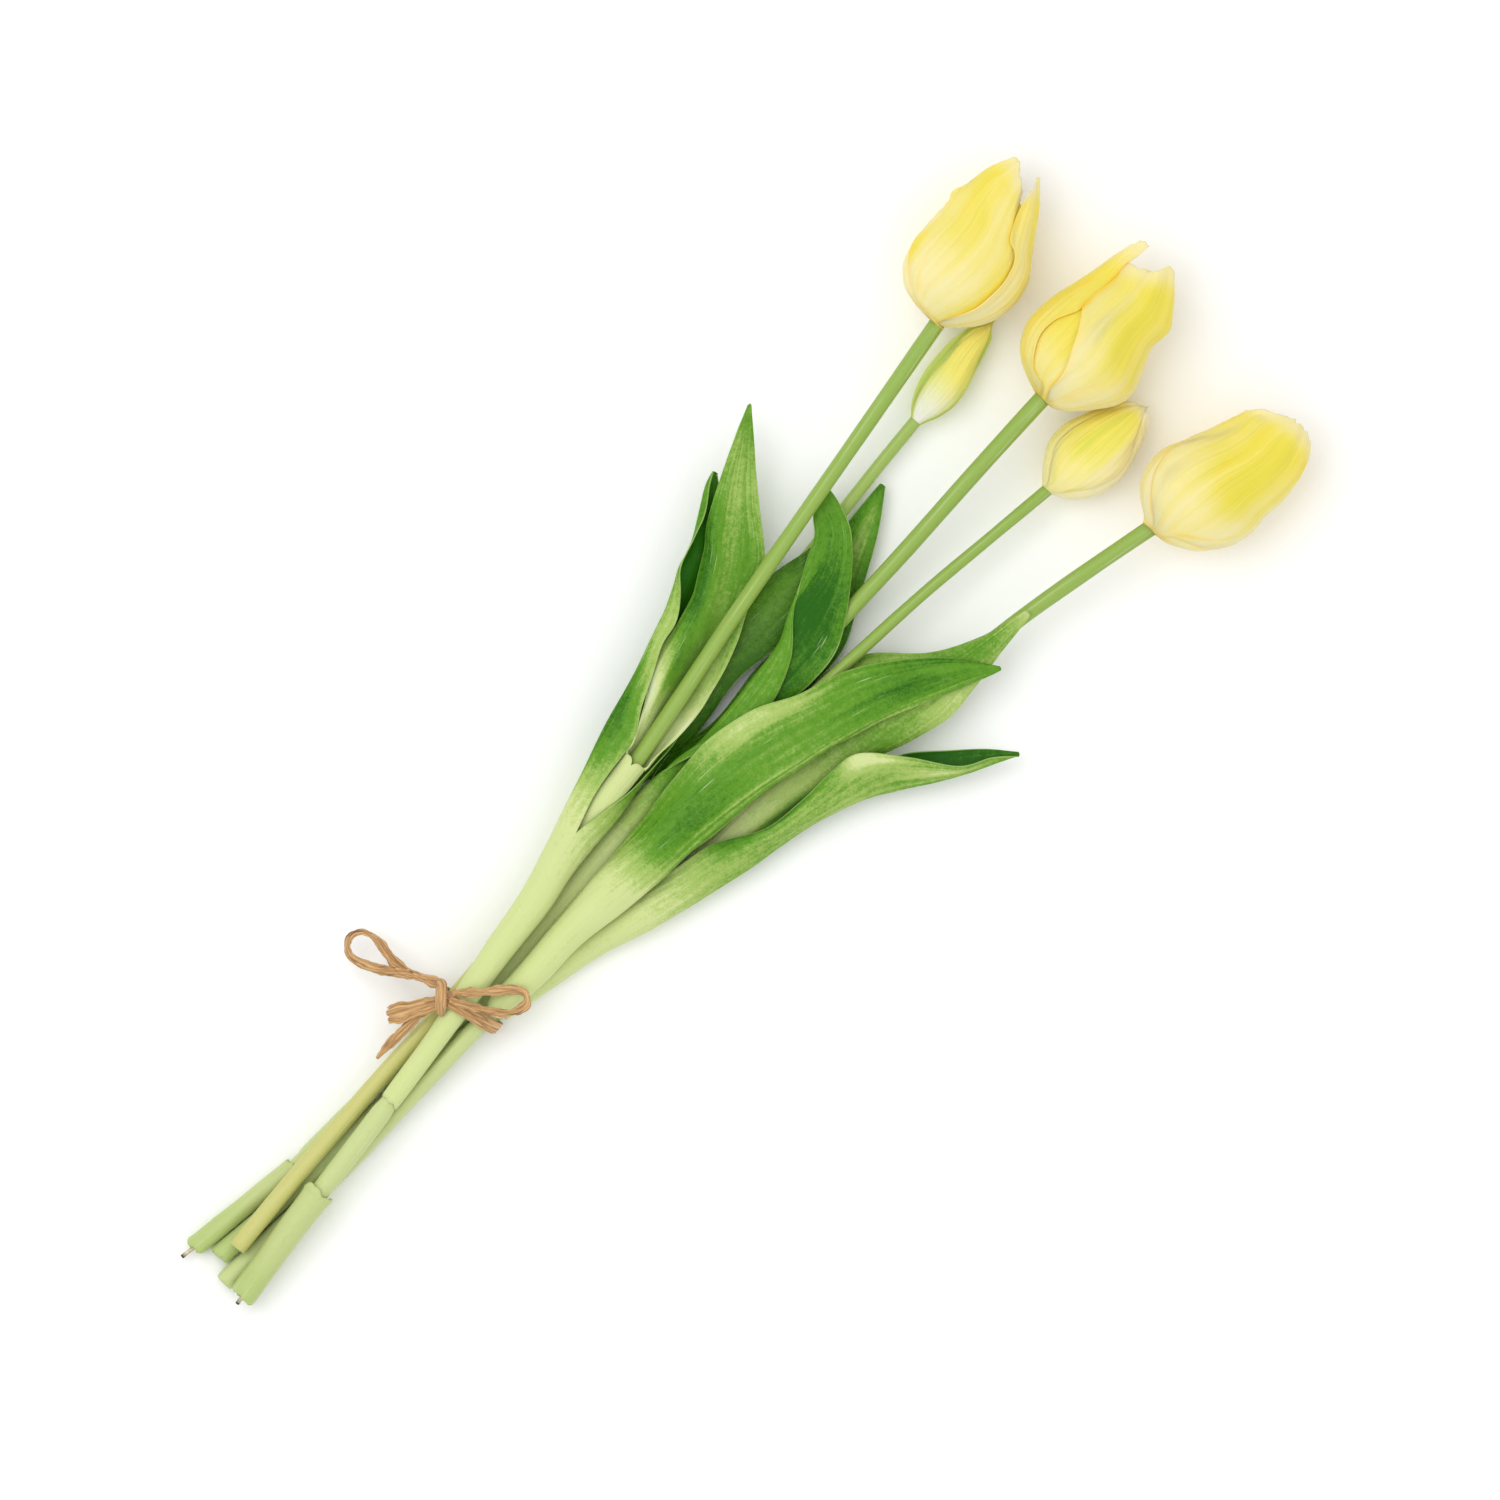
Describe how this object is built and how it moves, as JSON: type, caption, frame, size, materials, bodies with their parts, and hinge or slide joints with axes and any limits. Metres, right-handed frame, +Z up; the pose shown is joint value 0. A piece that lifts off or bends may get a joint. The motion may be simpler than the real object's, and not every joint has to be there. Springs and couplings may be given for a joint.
{
  "type": "bunch of tulips",
  "caption": "Bunch of artificial cut tulips with yellow blooms, closed buds and broad green leaves, lying on its side and tied with a raffia bow.",
  "frame": {"origin": "on the surface that the bunch lies on, at the flat underside of the raffia band", "axes": "+X along the bunch from the cut ends to the blooms, +Y across it, +Z up from the surface"},
  "size_m": [0.4676, 0.1515, 0.0417],
  "materials": {
    "leaf_green": "satin real-touch coating, pale at the sleeve and green along the blade",
    "stem_green": "satin",
    "stem_tan": "satin, tan green at the cut end",
    "sleeve_pale": "satin",
    "petal_yellow": "soft matt, finely veined",
    "bud_yellow": "soft matt, finely veined",
    "raffia": "matt fibrous ribbon",
    "wire": "cut wire"
  },
  "bodies": {
    "root": {"leaf_1": "leaf_green", "leaf_2": "leaf_green", "leaf_3": "leaf_green", "leaf_4": "leaf_green", "leaf_5": "leaf_green", "leaf_6": "leaf_green", "leaf_7": "leaf_green", "leaf_8": "leaf_green", "stem_1": "stem_green", "stem_2": "stem_tan", "stem_3": "stem_green", "stem_4": "stem_green", "stem_5": "stem_green", "end_sleeve_1": "sleeve_pale", "bloom_1": "petal_yellow", "end_sleeve_2": "sleeve_pale", "bloom_2": "petal_yellow", "end_sleeve_3": "sleeve_pale", "bloom_3": "petal_yellow", "bud_1": "bud_yellow", "wire_1": "wire", "bud_2": "bud_yellow", "wire_2": "wire", "raffia_band": "raffia", "raffia_knot": "raffia", "raffia_loop_left": "raffia", "raffia_loop_right": "raffia", "raffia_tail_wide": "raffia", "raffia_tail_narrow": "raffia"}
  },
  "joints": []
}
